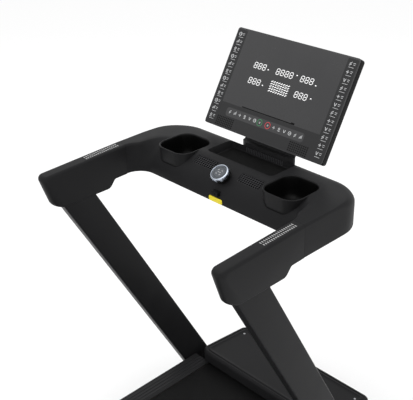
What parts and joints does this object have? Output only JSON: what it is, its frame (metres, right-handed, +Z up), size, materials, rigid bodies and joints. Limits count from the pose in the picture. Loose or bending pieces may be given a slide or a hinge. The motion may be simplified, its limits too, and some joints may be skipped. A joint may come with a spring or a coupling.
{
  "type": "treadmill",
  "caption": "Folding motorised treadmill with a wide running deck, leaning uprights, a moulded console bridge with cup holders, and a tilting flat display.",
  "frame": {"origin": "on the floor, under the middle of the whole machine", "axes": "+X to the user's right, +Y forwards, the way the user faces, +Z up"},
  "size_m": [0.822, 1.84, 1.5631],
  "materials": {
    "painted_steel": "fine-textured black powder coat",
    "black_plastic": "moulded, fine spark texture",
    "side_rail": "ribbed, matt",
    "dark_plastic": "matt black",
    "rubber": "matt",
    "bare_steel": "turned and zinc plated",
    "machine_grey": "satin paint",
    "running_board": "phenolic film",
    "running_belt": "two-ply belt, fine diamond texture",
    "screen_black": "dark tinted panel with printed graphics behind it",
    "circuit_green": "solder mask",
    "switch_red": "gloss",
    "knob_silver": "satin anodised",
    "label_yellow": "printed, satin"
  },
  "bodies": {
    "base": {"base_frame": "painted_steel", "base_foot_left": "rubber", "base_foot_right": "rubber", "wheel_axle_left": "bare_steel", "wheel_axle_right": "bare_steel", "upright_left": "painted_steel", "upright_right": "painted_steel", "upright_boot_left": "black_plastic", "upright_boot_right": "black_plastic", "handrail_left": "black_plastic", "handrail_right": "black_plastic", "console_frame": "painted_steel", "console_housing": "black_plastic", "console_cover": "dark_plastic", "cup_liner_left": "dark_plastic", "cup_liner_right": "dark_plastic", "vent_grille_left": "dark_plastic", "vent_grille_right": "dark_plastic", "tray_mat": "rubber", "knob_collar": "dark_plastic", "label_plate": "label_yellow", "screen_mast": "painted_steel", "tilt_pin": "bare_steel", "incline_motor": "machine_grey"},
    "wheel_left": {"transport_wheel_left": "rubber"},
    "wheel_right": {"transport_wheel_right": "rubber"},
    "lift": {"lift_frame": "painted_steel"},
    "incline_rod": {"incline_rod": "bare_steel"},
    "pivot": {"fold_pivot_tube": "bare_steel"},
    "deck": {"deck_frame": "painted_steel", "running_board": "running_board", "deck_cushion_left": "rubber", "deck_cushion_right": "rubber", "running_belt": "running_belt", "front_roller_shaft": "bare_steel", "rear_roller_shaft": "bare_steel", "drive_motor": "machine_grey", "drive_belt": "rubber", "side_rail_left": "side_rail", "side_rail_right": "side_rail", "rear_cover_left": "black_plastic", "rear_cover_right": "black_plastic", "motor_hood": "black_plastic", "motor_pan": "dark_plastic", "motor_controller": "circuit_green", "power_inlet": "dark_plastic", "rear_foot_left": "rubber", "rear_foot_right": "rubber"},
    "front_roller": {"front_roller": "bare_steel", "roller_pulley": "machine_grey"},
    "rear_roller": {"rear_roller": "bare_steel"},
    "motor": {"motor_rotor": "bare_steel"},
    "power_switch": {"power_switch": "switch_red"},
    "knob": {"control_knob": "knob_silver"},
    "knob_button": {"knob_button": "dark_plastic"},
    "safety_key": {"safety_key": "dark_plastic"},
    "screen": {"screen_shell": "black_plastic", "display_board": "circuit_green", "screen_glass": "screen_black", "screen_bracket": "painted_steel"}
  },
  "joints": [
    {"name": "wheel_left_spin", "type": "hinge", "parent": "base", "child": "wheel_left", "pos_m": [-0.38375, 0.885, 0.035], "axis": [1, 0, 0], "continuous": true},
    {"name": "wheel_right_spin", "type": "hinge", "parent": "base", "child": "wheel_right", "pos_m": [0.38375, 0.885, 0.035], "axis": [1, 0, 0], "continuous": true},
    {"name": "lift_hinge", "type": "hinge", "parent": "base", "child": "lift", "pos_m": [0, 0.41, 0.117], "axis": [1, 0, 0], "range_deg": [0, 33.7]},
    {"name": "incline_rod_slide", "type": "slide", "parent": "base", "child": "incline_rod", "axis": [0, 1, 0], "range_m": [0, 0.0464]},
    {"name": "level_hinge", "type": "hinge", "parent": "lift", "child": "pivot", "pos_m": [0, 0.75, 0.115], "axis": [-1, 0, 0], "range_deg": [0, 26.62]},
    {"name": "fold_hinge", "type": "hinge", "parent": "pivot", "child": "deck", "pos_m": [0, 0.75, 0.115], "axis": [-1, 0, 0], "range_deg": [0, 62]},
    {"name": "front_roller_spin", "type": "hinge", "parent": "deck", "child": "front_roller", "pos_m": [0, 0.652, 0.1732], "axis": [1, 0, 0], "continuous": true},
    {"name": "rear_roller_spin", "type": "hinge", "parent": "deck", "child": "rear_roller", "pos_m": [0, -0.882, 0.1732], "axis": [1, 0, 0], "continuous": true},
    {"name": "motor_spin", "type": "hinge", "parent": "deck", "child": "motor", "pos_m": [0, 0.796, 0.179], "axis": [1, 0, 0], "continuous": true},
    {"name": "power_switch_rock", "type": "hinge", "parent": "deck", "child": "power_switch", "pos_m": [0.15, 0.865, 0.185], "axis": [1, 0, 0], "range_deg": [0, 9]},
    {"name": "knob_turn", "type": "hinge", "parent": "base", "child": "knob", "pos_m": [0, 0.4215, 1.198], "axis": [0, -0.5299, 0.848], "continuous": true},
    {"name": "knob_push", "type": "slide", "parent": "base", "child": "knob_button", "axis": [0, 0.5299, -0.848], "range_m": [0, 0.002], "stiffness_N_per_m": 700},
    {"name": "safety_key_pull", "type": "slide", "parent": "base", "child": "safety_key", "axis": [0, -1, 0], "range_m": [0, 0.06]},
    {"name": "screen_tilt", "type": "hinge", "parent": "base", "child": "screen", "pos_m": [0, 0.712, 1.334], "axis": [1, 0, 0], "range_deg": [-15, 10]}
  ],
  "couplings": [
    {"joint": "incline_rod_slide", "follows": "lift_hinge", "m_per_rad": 0.07889},
    {"joint": "level_hinge", "follows": "lift_hinge", "ratio": 0.78991},
    {"joint": "rear_roller_spin", "follows": "front_roller_spin", "ratio": 1},
    {"joint": "motor_spin", "follows": "front_roller_spin", "ratio": 1.65}
  ]
}
